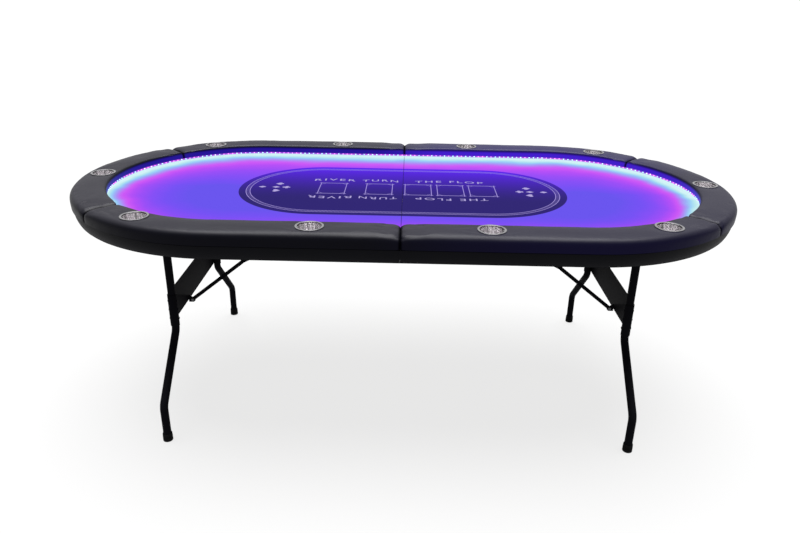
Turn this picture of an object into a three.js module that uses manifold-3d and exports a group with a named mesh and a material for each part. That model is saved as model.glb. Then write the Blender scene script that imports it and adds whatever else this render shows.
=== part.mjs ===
// Folding oval card table with a lit playing surface, ten cup holders and fold-away legs.
// Frame: millimetres, origin on the floor under the middle of the table, +X along the
// table's length, +Z up. The table folds in half about a line along Y, and each leg
// frame folds inwards about a line along Y.
import * as THREE from 'three'
import { mergeVertices } from 'three/addons/utils/BufferGeometryUtils.js'
import Module from 'manifold-3d'

const wasm = await Module()
wasm.setup()

// ---- driving dimensions -------------------------------------------------------------
const TABLE_LENGTH = 2134 // 84 in
const TABLE_WIDTH = 1096
const RAIL_TOP = 747
const RAIL_WIDTH = 107
const APRON_BOTTOM = 661.5
const FIT_GAP = 0.3 // clearance between neighbouring pieces

// playing surface and the boards under it, heights above the floor
const DECK = { bottom: 692, top: 704, inset: 24.3 }
const FELT = { bottom: 704.3, top: 708, inset: 99.4 }
const BOARD = { bottom: 704.3, top: 719.3, outerInset: 8, innerInset: 99 }
const APRON = { bottom: APRON_BOTTOM, top: 704, outerInset: 12, innerInset: 24 }
const JOIST = { bottom: APRON_BOTTOM + FIT_GAP, top: 691.7, width: 18, endInset: 24.6 }

// padded rail
const PAD_SKIRT_BOTTOM = 706.3
const PAD_UNDERSIDE = 719.6
const PAD_SKIRT = 7.7
const PAD_OUTER_ROUND = 20
const PAD_INNER_ROUND = 8
const PAD_INNER_LIP = 722.5
const PAD_SEAM_ANGLE = Math.PI / 4
const PAD_SEAM_GAP = 0.6

// light strip under the rail's inner lip
const LIGHT = { bottom: 710.4, top: 718.4, outerInset: 99.3, innerInset: 101.3 }

// drop-in cup holders
const CUP_INSET = 62
const CUP_RIM_RADIUS = 40
const CUP_BODY_RADIUS = 33
const CUP_FLOOR_RADIUS = 31.5
const CUP_BOTTOM = 682
const CUP_RIM_HEIGHT = 1.5
const CUP_WALL = 1
const CUP_HOLE_RADIUS = CUP_BODY_RADIUS + 0.8
const SIDE_CUP_X = 246
const CORNER_CUP_ANGLE = 1.1 // radians from the long axis, about the round end's centre

// leg frames
const LEG_X = 728
const LEG_PIVOT_Z = 674
const PIVOT_ROD = { radius: 11, halfLength: 300 }
const TUBE_RADIUS = 12.5
const LEG_UPPER_Y = 258
const LEG_LOWER_Y = 441
const LEG_SPLAY_TOP = 300
const LEG_SPLAY_BOTTOM = 125
const LEG_BEND_RADIUS = 38
const LEG_BEND_STEPS = 4
const PLATE = { bottom: 315, top: 425, thickness: 2 }
const FOOT = { radius: 15.5, height: 27, floor: 5 }
const BRACKET = { innerY: 273, outerY: 295, halfWidth: 35, flange: 3 }

// toggle brace of one leg frame: its lower link hangs on the cross plate, its upper
// link on the underside, and the two meet at an elbow
const BRACE_FOOT_Z = 314
const LOWER_LINK_SLOPE = THREE.MathUtils.degToRad(38.4)
const UPPER_LINK_SLOPE = THREE.MathUtils.degToRad(27)
const LINK = { halfHeight: 6.2, thickness: 5 }
const LOWER_LINK_Y = -58
const UPPER_LINK_Y = -52
const LUG_Y = -63.4
const LUG_THICKNESS = 4
const PIN_RADIUS = 3
const PIN_HEAD = { radius: 5.5, thickness: 2.2 }

// fold hinges
const FOLD_AXIS_Z = 657
const FOLD_HINGE_Y = 300
const KNUCKLE = { outer: 4.5, bore: 2.4, pin: 2.1 }
const LEAF = { reach: 42, bottom: 658.6, top: 661.2, halfLength: 40, middleHalf: 13.5, gap: 0.4 }

// light controller under the right half
const CONTROLLER = { x: 900, length: 90, width: 52, bottom: 668, socketWidth: 12, socketDepth: 9 }

const ROUND_STEPS = 20
const END_STEPS = 24 // facets of every half-round end, alike so that nested pieces stay clear
const HALF_LENGTH = TABLE_LENGTH / 2
const HALF_WIDTH = TABLE_WIDTH / 2
const END_CENTRE = HALF_LENGTH - HALF_WIDTH // x of the round end's centre

// ---- materials ----------------------------------------------------------------------
const finish = (color, roughness, metalness) => () =>
  new THREE.MeshStandardMaterial({ color, roughness, metalness })

const VINYL = finish(0x2b2a2e, 0.45, 0)
const PLAY_CLOTH = finish(0x5a48d8, 0.9, 0)
const PLYWOOD = finish(0x8d6b43, 0.7, 0)
const BLACK_BOARD = finish(0x131316, 0.5, 0)
const STAINLESS = finish(0xc9cbd0, 0.2, 1)
const POWDER_COAT = finish(0x101013, 0.45, 0.3)
const RUBBER = finish(0x0c0c0d, 0.8, 0)
const LIGHT_STRIP = finish(0xdfe8ff, 0.4, 0)
const ZINC = finish(0x9a9ca1, 0.35, 1)
const BLACK_PLASTIC = finish(0x1a1a1d, 0.4, 0)

// ---- geometry helpers ---------------------------------------------------------------
// A path through given points with given directions, sampled exactly at those points.
class SteppedPath extends THREE.Curve {
  constructor(stations) {
    super()
    this.stations = stations
  }
  getUtoTmapping(u) {
    return u
  }
  getPoint(t, target = new THREE.Vector3()) {
    const place = t * (this.stations.length - 1)
    const first = Math.min(Math.floor(place), this.stations.length - 2)
    return target.lerpVectors(this.stations[first].at, this.stations[first + 1].at, place - first)
  }
  getTangentAt(u, target = new THREE.Vector3()) {
    return target.copy(this.stations[Math.round(u * (this.stations.length - 1))].along)
  }
}

function sweep(shape, stations) {
  return new THREE.ExtrudeGeometry(shape, {
    steps: stations.length - 1,
    curveSegments: 3,
    extrudePath: new SteppedPath(stations),
  })
}

function slab(shape, bottom, top, curveSegments = 6) {
  const plate = new THREE.ExtrudeGeometry(shape, {
    depth: top - bottom,
    steps: 1,
    curveSegments,
    bevelEnabled: false,
  })
  return plate.translate(0, 0, bottom)
}

// A shape drawn in X and Z, given a thickness along Y from yHigh downwards.
function uprightPlate(shape, yHigh, thickness, curveSegments = 6) {
  return slab(shape, 0, thickness, curveSegments)
    .rotateX(Math.PI / 2)
    .translate(0, yHigh, 0)
}

function lathed(profile, steps = ROUND_STEPS) {
  const points = profile.map(([radius, height]) => new THREE.Vector2(radius, height))
  return new THREE.LatheGeometry(points, steps).rotateX(Math.PI / 2)
}

function rodAlongY(radius, yLow, yHigh, steps = ROUND_STEPS) {
  return new THREE.CylinderGeometry(radius, radius, yHigh - yLow, steps)
    .translate(0, (yLow + yHigh) / 2, 0)
}

function positionsOnly(geometry) {
  const bare = geometry.clone()
  bare.deleteAttribute('normal')
  bare.deleteAttribute('uv')
  return mergeVertices(bare, 1e-4)
}

function signedVolume(geometry) {
  const point = geometry.getAttribute('position')
  const corner = [new THREE.Vector3(), new THREE.Vector3(), new THREE.Vector3()]
  let volume = 0
  for (let i = 0; i < geometry.index.count; i += 3) {
    corner.forEach((c, k) => c.fromBufferAttribute(point, geometry.index.getX(i + k)))
    volume += corner[0].dot(corner[1].clone().cross(corner[2])) / 6
  }
  return volume
}

function turnedInsideOut(geometry) {
  const index = geometry.index
  for (let i = 0; i < index.count; i += 3) {
    const second = index.getX(i + 1)
    index.setX(i + 1, index.getX(i + 2))
    index.setX(i + 2, second)
  }
  return geometry
}

function outward(geometry) {
  const merged = positionsOnly(geometry)
  return signedVolume(merged) < 0 ? turnedInsideOut(merged) : merged
}

function toSolid(geometry) {
  const merged = outward(geometry)
  const mesh = new wasm.Mesh({
    numProp: 3,
    vertProperties: new Float32Array(merged.getAttribute('position').array),
    triVerts: new Uint32Array(merged.index.array),
  })
  return new wasm.Manifold(mesh)
}

function toGeometry(solid) {
  const mesh = solid.getMesh()
  const geometry = new THREE.BufferGeometry()
  geometry.setAttribute('position', new THREE.BufferAttribute(mesh.vertProperties, 3))
  geometry.setIndex(new THREE.BufferAttribute(mesh.triVerts, 1))
  return geometry
}

function cut(geometry, ...tools) {
  return toGeometry(tools.reduce((solid, tool) => solid.subtract(toSolid(tool)), toSolid(geometry)))
}

function join(geometry, ...others) {
  return toGeometry(others.reduce((solid, other) => solid.add(toSolid(other)), toSolid(geometry)))
}

// ---- outlines of the right half ------------------------------------------------------
// Everything below is drawn for the right half; the left half is its mirror image.
function halfOutline(inset, seamX = FIT_GAP) {
  const outline = new THREE.Path()
  const y = HALF_WIDTH - inset
  outline.moveTo(seamX, -y)
  outline.lineTo(END_CENTRE, -y)
  outline.absarc(END_CENTRE, 0, y, -Math.PI / 2, Math.PI / 2, false)
  outline.lineTo(seamX, y)
  return outline
}

function halfPanel(inset) {
  return new THREE.Shape(halfOutline(inset).getPoints(END_STEPS / 2))
}

function halfRing(outerInset, innerInset) {
  const outer = halfOutline(outerInset).getPoints(END_STEPS / 2)
  const inner = halfOutline(innerInset).getPoints(END_STEPS / 2)
  return new THREE.Shape([...outer, ...inner.reverse()])
}

function cupPlaces() {
  const ring = HALF_WIDTH - CUP_INSET
  const cornerX = END_CENTRE + ring * Math.cos(CORNER_CUP_ANGLE)
  const cornerY = ring * Math.sin(CORNER_CUP_ANGLE)
  return {
    front_side: [SIDE_CUP_X, -ring],
    front_corner: [cornerX, -cornerY],
    end: [END_CENTRE + ring, 0],
    back_corner: [cornerX, cornerY],
    back_side: [SIDE_CUP_X, ring],
  }
}

function cupBores(bottom, top) {
  return Object.values(cupPlaces()).map(([x, y]) =>
    new THREE.CylinderGeometry(CUP_HOLE_RADIUS, CUP_HOLE_RADIUS, top - bottom + 10, ROUND_STEPS)
      .rotateX(Math.PI / 2)
      .translate(x, y, (top + bottom) / 2))
}

// ---- table top pieces -----------------------------------------------------------------
function deck() {
  return cut(slab(halfPanel(DECK.inset), DECK.bottom, DECK.top), ...cupBores(DECK.bottom, DECK.top))
}

function felt() {
  return slab(halfPanel(FELT.inset), FELT.bottom, FELT.top)
}

function apron() {
  return slab(halfRing(APRON.outerInset, APRON.innerInset), APRON.bottom, APRON.top)
}

function railBoard() {
  const ring = slab(halfRing(BOARD.outerInset, BOARD.innerInset), BOARD.bottom, BOARD.top)
  return cut(ring, ...cupBores(BOARD.bottom, BOARD.top))
}

function lightStrip() {
  return slab(halfRing(LIGHT.outerInset, LIGHT.innerInset), LIGHT.bottom, LIGHT.top)
}

function seamJoist() {
  const reach = HALF_WIDTH - JOIST.endInset
  return new THREE.BoxGeometry(JOIST.width, reach * 2, JOIST.top - JOIST.bottom)
    .translate(FIT_GAP + JOIST.width / 2, 0, (JOIST.top + JOIST.bottom) / 2)
}

// Section of the padded rail: x is the drop below the rail top, y the inset from the
// table's outline. A thin skirt covers the outer edge of the board.
function railSection() {
  const drop = (height) => RAIL_TOP - height
  const section = new THREE.Shape()
  section.moveTo(drop(PAD_SKIRT_BOTTOM), 0)
  section.lineTo(PAD_OUTER_ROUND, 0)
  section.absarc(PAD_OUTER_ROUND, PAD_OUTER_ROUND, PAD_OUTER_ROUND, -Math.PI / 2, -Math.PI, true)
  section.lineTo(0, RAIL_WIDTH - PAD_INNER_ROUND)
  section.absarc(PAD_INNER_ROUND, RAIL_WIDTH - PAD_INNER_ROUND, PAD_INNER_ROUND, Math.PI, Math.PI / 2, true)
  section.lineTo(drop(PAD_INNER_LIP), RAIL_WIDTH)
  section.lineTo(drop(PAD_UNDERSIDE), RAIL_WIDTH - 3)
  section.lineTo(drop(PAD_UNDERSIDE), PAD_SKIRT)
  section.lineTo(drop(PAD_SKIRT_BOTTOM), PAD_SKIRT)
  return section
}

// Stations on the outline, around the round end from one angle to another.
function endStations(from, to, steps) {
  return Array.from({ length: steps + 1 }, (_, i) => {
    const angle = from + ((to - from) * i) / steps
    return {
      at: new THREE.Vector3(END_CENTRE + HALF_WIDTH * Math.cos(angle), HALF_WIDTH * Math.sin(angle), RAIL_TOP),
      along: new THREE.Vector3(-Math.sin(angle), Math.cos(angle), 0),
    }
  })
}

function straightStation(x, side) {
  return {
    at: new THREE.Vector3(x, side * HALF_WIDTH, RAIL_TOP),
    along: new THREE.Vector3(-side, 0, 0),
  }
}

function railPad(part) {
  const seamAngle = PAD_SEAM_ANGLE + PAD_SEAM_GAP / 2 / HALF_WIDTH
  const pathOf = {
    front: () => [straightStation(FIT_GAP, -1), ...endStations(-Math.PI / 2, -seamAngle, END_STEPS / 4)],
    end: () => endStations(PAD_SEAM_GAP / HALF_WIDTH - seamAngle, seamAngle - PAD_SEAM_GAP / HALF_WIDTH, END_STEPS / 2),
    back: () => [...endStations(seamAngle, Math.PI / 2, END_STEPS / 4), straightStation(FIT_GAP, 1)],
  }
  const cupsOf = { front: [0, 1], end: [2], back: [3, 4] }
  const bores = cupBores(PAD_UNDERSIDE, RAIL_TOP)
  return cut(sweep(railSection(), pathOf[part]()), ...cupsOf[part].map((i) => bores[i]))
}

// ---- cup holders -----------------------------------------------------------------------
function cupHolder([x, y]) {
  const rimTop = RAIL_TOP + CUP_RIM_HEIGHT
  const innerRadius = CUP_BODY_RADIUS - CUP_WALL
  return lathed([
    [0, CUP_BOTTOM],
    [CUP_FLOOR_RADIUS, CUP_BOTTOM],
    [CUP_BODY_RADIUS, RAIL_TOP + FIT_GAP],
    [CUP_RIM_RADIUS, RAIL_TOP + FIT_GAP],
    [CUP_RIM_RADIUS - 1.5, rimTop],
    [innerRadius, rimTop],
    [CUP_FLOOR_RADIUS - CUP_WALL, CUP_BOTTOM + CUP_WALL],
    [0, CUP_BOTTOM + CUP_WALL],
  ]).translate(x, y, 0)
}

// ---- leg frame ---------------------------------------------------------------------------
// Stations along straight runs between corner points, with a round bend at each corner.
function bentStations(corners, bendRadius, bendSteps) {
  const stations = []
  const direction = (from, to) => to.clone().sub(from).normalize()
  stations.push({ at: corners[0], along: direction(corners[0], corners[1]) })
  for (let i = 1; i < corners.length - 1; i += 1) {
    const into = direction(corners[i - 1], corners[i])
    const outOf = direction(corners[i], corners[i + 1])
    const turn = into.angleTo(outOf)
    const run = bendRadius * Math.tan(turn / 2)
    const start = corners[i].clone().addScaledVector(into, -run)
    const towardsCentre = outOf.clone().addScaledVector(into, -Math.cos(turn)).normalize()
    const centre = start.clone().addScaledVector(towardsCentre, bendRadius)
    for (let k = 0; k <= bendSteps; k += 1) {
      const angle = (turn * k) / bendSteps
      stations.push({
        at: centre.clone()
          .addScaledVector(towardsCentre, -bendRadius * Math.cos(angle))
          .addScaledVector(into, bendRadius * Math.sin(angle)),
        along: into.clone().multiplyScalar(Math.cos(angle)).addScaledVector(towardsCentre, Math.sin(angle)),
      })
    }
  }
  const last = corners.length - 1
  stations.push({ at: corners[last], along: direction(corners[last - 1], corners[last]) })
  return stations
}

function legTube(side) {
  const top = LEG_PIVOT_Z - PIVOT_ROD.radius - FIT_GAP
  const corners = [
    new THREE.Vector3(LEG_X, side * LEG_UPPER_Y, top),
    new THREE.Vector3(LEG_X, side * LEG_UPPER_Y, LEG_SPLAY_TOP),
    new THREE.Vector3(LEG_X, side * LEG_LOWER_Y, LEG_SPLAY_BOTTOM),
    new THREE.Vector3(LEG_X, side * LEG_LOWER_Y, FOOT.floor + FIT_GAP),
  ]
  const ring = new THREE.Shape()
  ring.absarc(0, 0, TUBE_RADIUS, 0, Math.PI * 2, false)
  return new THREE.ExtrudeGeometry(ring, {
    steps: corners.length - 1 + LEG_BEND_STEPS * 2,
    curveSegments: 6,
    extrudePath: new SteppedPath(bentStations(corners, LEG_BEND_RADIUS, LEG_BEND_STEPS)),
  })
}

function pivotRod() {
  return rodAlongY(PIVOT_ROD.radius, -PIVOT_ROD.halfLength, PIVOT_ROD.halfLength)
    .translate(LEG_X, 0, LEG_PIVOT_Z)
}

function footCap(side) {
  const bore = TUBE_RADIUS + FIT_GAP
  return lathed([
    [0, 0],
    [FOOT.radius - 2, 0],
    [FOOT.radius, 2],
    [FOOT.radius - 0.8, FOOT.height],
    [bore, FOOT.height],
    [bore, FOOT.floor],
    [0, FOOT.floor],
  ]).translate(LEG_X, side * LEG_LOWER_Y, 0)
}

// Sheet across the outer faces of both tubes, curled round them at its ends, with a
// lug on its lower edge for the brace.
function crossPlate() {
  const inner = TUBE_RADIUS + FIT_GAP
  const outer = inner + PLATE.thickness
  const outline = new THREE.Shape()
  outline.moveTo(outer, -LEG_UPPER_Y)
  outline.lineTo(outer, LEG_UPPER_Y)
  outline.absarc(0, LEG_UPPER_Y, outer, 0, Math.PI, false)
  outline.lineTo(-inner, LEG_UPPER_Y)
  outline.absarc(0, LEG_UPPER_Y, inner, Math.PI, 0, true)
  outline.lineTo(inner, -LEG_UPPER_Y)
  outline.absarc(0, -LEG_UPPER_Y, inner, 0, -Math.PI, true)
  outline.lineTo(-outer, -LEG_UPPER_Y)
  outline.absarc(0, -LEG_UPPER_Y, outer, -Math.PI, 0, false)
  const sheet = slab(outline, PLATE.bottom, PLATE.top, 5).translate(LEG_X, 0, 0)
  return cut(join(sheet, braceLug(outer)), bracePinBore())
}

function braceLug(reach) {
  const eye = new THREE.Shape()
  const radius = 9
  eye.moveTo(LEG_X + reach - 1, BRACE_FOOT_Z - radius)
  eye.lineTo(LEG_X + reach - 1, BRACE_FOOT_Z + radius * 2)
  eye.lineTo(LEG_X, BRACE_FOOT_Z + radius)
  eye.absarc(LEG_X, BRACE_FOOT_Z, radius, Math.PI / 2, (Math.PI * 3) / 2, false)
  return uprightPlate(eye, LUG_Y, LUG_THICKNESS, 4)
}

function bracePinBore() {
  return rodAlongY(PIN_RADIUS + FIT_GAP, LUG_Y - LUG_THICKNESS - 5, LUG_Y + 5, 16)
    .translate(LEG_X, 0, BRACE_FOOT_Z)
}

// Rod with a rivet head, through the lug and the lower link.
function bracePin() {
  const headTop = LUG_Y - LUG_THICKNESS - FIT_GAP
  const tip = LOWER_LINK_Y + FIT_GAP
  return lathed([
    [0, headTop - PIN_HEAD.thickness],
    [PIN_HEAD.radius - 1, headTop - PIN_HEAD.thickness],
    [PIN_HEAD.radius, headTop - 1],
    [PIN_HEAD.radius, headTop],
    [PIN_RADIUS, headTop],
    [PIN_RADIUS, tip],
    [0, tip],
  ], 16).rotateX(-Math.PI / 2).translate(LEG_X, 0, BRACE_FOOT_Z)
}

function legBracket(side) {
  const radius = PIVOT_ROD.radius + FIT_GAP
  const flangeTop = DECK.bottom - FIT_GAP
  const flangeBottom = flangeTop - BRACKET.flange
  const shell = radius + 3
  const shape = new THREE.Shape()
  shape.moveTo(LEG_X - BRACKET.halfWidth, flangeTop)
  shape.lineTo(LEG_X - BRACKET.halfWidth, flangeBottom)
  shape.lineTo(LEG_X - shell, flangeBottom)
  shape.lineTo(LEG_X - shell, LEG_PIVOT_Z)
  shape.absarc(LEG_X, LEG_PIVOT_Z, shell, Math.PI, Math.PI * 2, false)
  shape.lineTo(LEG_X + shell, flangeBottom)
  shape.lineTo(LEG_X + BRACKET.halfWidth, flangeBottom)
  shape.lineTo(LEG_X + BRACKET.halfWidth, flangeTop)
  const bore = new THREE.Path()
  bore.absarc(LEG_X, LEG_PIVOT_Z, radius, 0, Math.PI * 2, true)
  shape.holes.push(bore)
  const width = BRACKET.outerY - BRACKET.innerY
  const yHigh = side > 0 ? BRACKET.outerY : -BRACKET.innerY
  return uprightPlate(shape, yHigh, width, 8)
}

// ---- brace ---------------------------------------------------------------------------------
// Distances are measured from the leg's pivot, inwards and upwards. Link lengths are
// such that the links lie in one line with the leg when it is folded flat.
function braceGeometry() {
  const drop = LEG_PIVOT_Z - BRACE_FOOT_Z
  const halfUpper = Math.tan(UPPER_LINK_SLOPE / 2)
  const lowerLength = (drop * (1 + halfUpper))
    / (1 + Math.cos(LOWER_LINK_SLOPE) + Math.sin(LOWER_LINK_SLOPE) * halfUpper)
  const elbowX = lowerLength * Math.cos(LOWER_LINK_SLOPE)
  const elbowZ = lowerLength * Math.sin(LOWER_LINK_SLOPE) - drop
  const upperLength = -elbowZ / Math.sin(UPPER_LINK_SLOPE)
  return {
    foot: new THREE.Vector2(LEG_X, BRACE_FOOT_Z),
    elbow: new THREE.Vector2(LEG_X - elbowX, LEG_PIVOT_Z + elbowZ),
    top: new THREE.Vector2(LEG_X - elbowX - upperLength * Math.cos(UPPER_LINK_SLOPE), LEG_PIVOT_Z),
  }
}

// Flat bar with round ends between two points, and a bore at the first one.
function linkBar(from, to, yHigh) {
  const angle = Math.atan2(to.y - from.y, to.x - from.x)
  const shape = new THREE.Shape()
  shape.absarc(from.x, from.y, LINK.halfHeight, angle + Math.PI / 2, angle + (Math.PI * 3) / 2, false)
  shape.absarc(to.x, to.y, LINK.halfHeight, angle - Math.PI / 2, angle + Math.PI / 2, false)
  const bore = new THREE.Path()
  bore.absarc(from.x, from.y, PIN_RADIUS + FIT_GAP, 0, Math.PI * 2, true)
  shape.holes.push(bore)
  return uprightPlate(shape, yHigh, LINK.thickness, 8)
}

// Tab screwed to the underside, with the stub that carries the upper link.
function braceBracket() {
  const { top } = braceGeometry()
  const flangeTop = DECK.bottom - FIT_GAP
  const tabY = UPPER_LINK_Y + 1
  const tabThickness = 4
  const eye = new THREE.Shape()
  eye.moveTo(top.x - 11, flangeTop)
  eye.lineTo(top.x - 9, top.y)
  eye.absarc(top.x, top.y, 9, Math.PI, Math.PI * 2, false)
  eye.lineTo(top.x + 11, flangeTop)
  const tab = uprightPlate(eye, tabY + tabThickness, tabThickness, 4)
  const flange = new THREE.BoxGeometry(44, 30, BRACKET.flange)
    .translate(top.x, tabY + tabThickness + 10, flangeTop - BRACKET.flange / 2)
  const stub = rodAlongY(PIN_RADIUS, UPPER_LINK_Y - LINK.thickness - 0.6, tabY + 2, 16)
    .translate(top.x, 0, top.y)
  return join(tab, flange, stub)
}

// ---- fold hinges -----------------------------------------------------------------------------
function knuckle(yLow, yHigh) {
  return rodAlongY(KNUCKLE.outer, yLow, yHigh, 16).translate(0, 0, FOLD_AXIS_Z)
}

function leafPlate(yLow, yHigh, fromX) {
  return new THREE.BoxGeometry(LEAF.reach - fromX, yHigh - yLow, LEAF.top - LEAF.bottom)
    .translate((LEAF.reach + fromX) / 2, (yLow + yHigh) / 2, (LEAF.top + LEAF.bottom) / 2)
}

function hingeBore(centreY) {
  return rodAlongY(KNUCKLE.bore, centreY - LEAF.halfLength - 5, centreY + LEAF.halfLength + 5, 16)
    .translate(0, 0, FOLD_AXIS_Z)
}

// Leaf of the right half, with the middle knuckle.
function middleLeaf(centreY) {
  const half = LEAF.middleHalf - LEAF.gap
  const body = join(
    leafPlate(centreY - LEAF.halfLength, centreY + LEAF.halfLength, KNUCKLE.outer + 1),
    leafPlate(centreY - half, centreY + half, 0),
    knuckle(centreY - half, centreY + half),
  )
  return cut(body, hingeBore(centreY))
}

// Leaf of the left half, drawn on the right, with the two outer knuckles.
function outerLeaf(centreY) {
  const ends = [[-LEAF.halfLength, -LEAF.middleHalf], [LEAF.middleHalf, LEAF.halfLength]]
  const pieces = ends.flatMap(([low, high]) => [
    leafPlate(centreY + low, centreY + high, 0),
    knuckle(centreY + low, centreY + high),
  ])
  const plate = leafPlate(centreY - LEAF.halfLength, centreY + LEAF.halfLength, KNUCKLE.outer + 1)
  return cut(join(plate, ...pieces), hingeBore(centreY))
}

function hingePin(centreY) {
  const reach = LEAF.halfLength + 1
  return rodAlongY(KNUCKLE.pin, centreY - reach, centreY + reach, 16).translate(0, 0, FOLD_AXIS_Z)
}

// ---- light controller --------------------------------------------------------------------------
function lightController() {
  const top = DECK.bottom - FIT_GAP
  const middle = (CONTROLLER.bottom + top) / 2
  const box = new THREE.BoxGeometry(CONTROLLER.length, CONTROLLER.width, top - CONTROLLER.bottom)
    .translate(CONTROLLER.x, 0, middle)
  const socket = new THREE.BoxGeometry(CONTROLLER.socketDepth * 2, CONTROLLER.socketWidth, 8)
    .translate(CONTROLLER.x + CONTROLLER.length / 2, 0, middle)
  return cut(box, socket)
}

// ---- assembly ------------------------------------------------------------------------------------
function mirrored(geometry) {
  return turnedInsideOut(positionsOnly(geometry).scale(-1, 1, 1))
}

const table = new THREE.Group()

function add(name, geometry, material) {
  const mesh = new THREE.Mesh(outward(geometry), material())
  mesh.name = name
  table.add(mesh)
}

// Adds one piece to each half: the right one as drawn, the left one mirrored.
function addPair(name, geometry, material) {
  add(`right_${name}`, geometry, material)
  add(`left_${name}`, mirrored(geometry), material)
}

function addTableTop() {
  addPair('deck_board', deck(), PLYWOOD)
  addPair('play_cloth', felt(), PLAY_CLOTH)
  addPair('apron', apron(), BLACK_BOARD)
  addPair('seam_joist', seamJoist(), PLYWOOD)
  addPair('rail_board', railBoard(), PLYWOOD)
  addPair('light_strip', lightStrip(), LIGHT_STRIP)
  for (const part of ['front', 'end', 'back']) {
    addPair(`rail_pad_${part}`, railPad(part), VINYL)
  }
  for (const [place, at] of Object.entries(cupPlaces())) {
    addPair(`cup_holder_${place}`, cupHolder(at), STAINLESS)
  }
}

function addLegFrames() {
  const brace = braceGeometry()
  for (const [side, place] of [[-1, 'front'], [1, 'back']]) {
    addPair(`leg_tube_${place}`, legTube(side), POWDER_COAT)
    addPair(`foot_cap_${place}`, footCap(side), RUBBER)
    addPair(`leg_bracket_${place}`, legBracket(side), POWDER_COAT)
  }
  addPair('leg_pivot_rod', pivotRod(), POWDER_COAT)
  addPair('leg_cross_plate', crossPlate(), POWDER_COAT)
  addPair('brace_pin', bracePin(), ZINC)
  addPair('brace_lower_link', linkBar(brace.foot, brace.elbow, LOWER_LINK_Y), POWDER_COAT)
  addPair('brace_upper_link', linkBar(brace.top, brace.elbow, UPPER_LINK_Y), POWDER_COAT)
  addPair('brace_bracket', braceBracket(), POWDER_COAT)
}

function addFoldHinges() {
  for (const [side, place] of [[-1, 'front'], [1, 'back']]) {
    const y = side * FOLD_HINGE_Y
    add(`right_fold_leaf_${place}`, middleLeaf(y), ZINC)
    add(`left_fold_leaf_${place}`, mirrored(outerLeaf(y)), ZINC)
    add(`fold_pin_${place}`, hingePin(y), ZINC)
  }
}

addTableTop()
addLegFrames()
addFoldHinges()
add('light_controller', lightController(), BLACK_PLASTIC)

export default table
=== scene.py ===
"""Looks of the folding oval card table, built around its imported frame. Metres, +Z up."""
import math
from functools import partialmethod

import bmesh
import bpy
from mathutils import Matrix, Vector, noise


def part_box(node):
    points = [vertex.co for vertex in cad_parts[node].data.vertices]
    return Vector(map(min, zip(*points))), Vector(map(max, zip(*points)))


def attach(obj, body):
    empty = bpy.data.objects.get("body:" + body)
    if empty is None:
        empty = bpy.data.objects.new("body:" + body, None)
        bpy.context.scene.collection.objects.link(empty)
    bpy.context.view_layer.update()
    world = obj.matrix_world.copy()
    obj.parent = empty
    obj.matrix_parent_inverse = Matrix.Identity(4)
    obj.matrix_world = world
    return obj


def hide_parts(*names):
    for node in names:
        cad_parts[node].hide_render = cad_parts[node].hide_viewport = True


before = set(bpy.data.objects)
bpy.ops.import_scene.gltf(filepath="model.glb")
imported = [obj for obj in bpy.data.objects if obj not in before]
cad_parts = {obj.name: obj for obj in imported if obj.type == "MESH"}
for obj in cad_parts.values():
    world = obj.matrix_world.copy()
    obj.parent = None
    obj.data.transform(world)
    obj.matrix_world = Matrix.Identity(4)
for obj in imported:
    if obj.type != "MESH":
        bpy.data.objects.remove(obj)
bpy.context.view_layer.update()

MM = 0.001
HALVES = (("right", 1), ("left", -1))
ENDS = (("front", -1), ("back", 1))

# ---- sizes, worked out from the frame ----
END_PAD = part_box("right_rail_pad_end")
FRONT_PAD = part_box("right_rail_pad_front")
APRON_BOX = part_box("right_apron")
STRIP_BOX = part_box("right_light_strip")
HALF_LENGTH = END_PAD[1][0]
HALF_WIDTH = -FRONT_PAD[0][1]
END_X = HALF_LENGTH - HALF_WIDTH
RAIL_TOP = END_PAD[1][2]
SKIRT_BOTTOM = END_PAD[0][2]
CLOTH_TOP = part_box("right_play_cloth")[1][2]
SEAM_X = FRONT_PAD[0][0]
BOARD_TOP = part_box("right_rail_board")[1][2]
APRON_TOP = APRON_BOX[1][2]
APRON_BOTTOM = APRON_BOX[0][2]
RAIL_WIDTH = 107 * MM
LIP_RADIUS = HALF_WIDTH - RAIL_WIDTH
CUP_HOLE_RADIUS = 33.8 * MM
LAMP_Z = STRIP_BOX[1][2] - 1.9 * MM
LAMP_INSET = 101.6 * MM


def centre(node):
    low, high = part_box(node)
    return (Vector(low) + Vector(high)) / 2


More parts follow.
